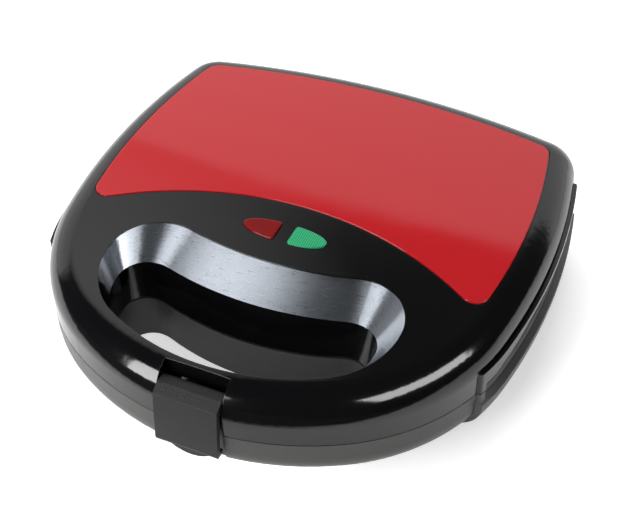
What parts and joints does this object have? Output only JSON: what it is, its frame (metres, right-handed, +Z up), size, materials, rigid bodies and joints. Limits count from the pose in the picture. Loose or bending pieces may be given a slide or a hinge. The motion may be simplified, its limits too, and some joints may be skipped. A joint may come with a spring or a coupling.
{
  "type": "sandwich maker",
  "caption": "Countertop sandwich maker with a hinged lid, two ridged heating plates, a front handle opening, a swinging latch, indicator lenses and rubber feet.",
  "frame": {"origin": "middle of the overall box, on the surface that the foot pads stand on", "axes": "+X to the right seen from the handle, +Y towards the hinge, +Z up"},
  "size_m": [0.2402, 0.2476, 0.0627],
  "materials": {
    "black_gloss": "moulded black plastic with a high gloss",
    "black_satin": "moulded black plastic with a fine matte grain",
    "red_gloss": "red lacquered top panel",
    "lens_red": "clear red lens",
    "lens_green": "clear green lens",
    "nonstick": "cast aluminium with a dark non-stick coat",
    "steel": "plain steel",
    "bright_sheet": "bright aluminised sheet",
    "heat_plastic": "dark heat-resistant moulding",
    "rubber": "black rubber",
    "ceramic": "pale ceramic-filled moulding",
    "lamp_glass": "small neon lamp bulb"
  },
  "bodies": {
    "base": {"lower_casing": "black_gloss", "lower_frame": "heat_plastic", "lower_frame_screws": "steel", "lower_heating_plate": "nonstick", "lower_plate_bolts": "steel", "lower_plate_sleeves": "steel", "lower_heater": "steel", "lower_reflector": "bright_sheet", "thermal_fuse": "ceramic", "fuse_strap": "steel", "foot_pads": "rubber", "hinge_pins": "steel", "cord_gland": "rubber", "cord_clamp": "heat_plastic", "cord_clamp_screws": "steel", "terminal_block": "ceramic"},
    "lid": {"upper_casing": "black_gloss", "top_panel": "red_gloss", "panel_nuts": "steel", "red_lens": "lens_red", "green_lens": "lens_green", "lamp_holder": "heat_plastic", "lamp_holder_screws": "steel", "red_lamp": "lamp_glass", "green_lamp": "lamp_glass", "upper_frame": "heat_plastic", "upper_frame_screws": "steel", "upper_heating_plate": "nonstick", "upper_plate_bolts": "steel", "upper_plate_sleeves": "steel", "upper_heater": "steel", "upper_reflector": "bright_sheet", "thermostat": "ceramic", "thermostat_strap": "steel", "latch_pin": "steel"},
    "latch": {"latch": "black_satin"}
  },
  "joints": [
    {"name": "lid_hinge", "type": "hinge", "parent": "base", "child": "lid", "pos_m": [0, 0.1188, 0.0356], "axis": [-1, 0, 0], "range_deg": [0, 100]},
    {"name": "latch_pivot", "type": "hinge", "parent": "lid", "child": "latch", "pos_m": [0, -0.1134, 0.049], "axis": [-1, 0, 0], "range_deg": [-6, 70]}
  ]
}
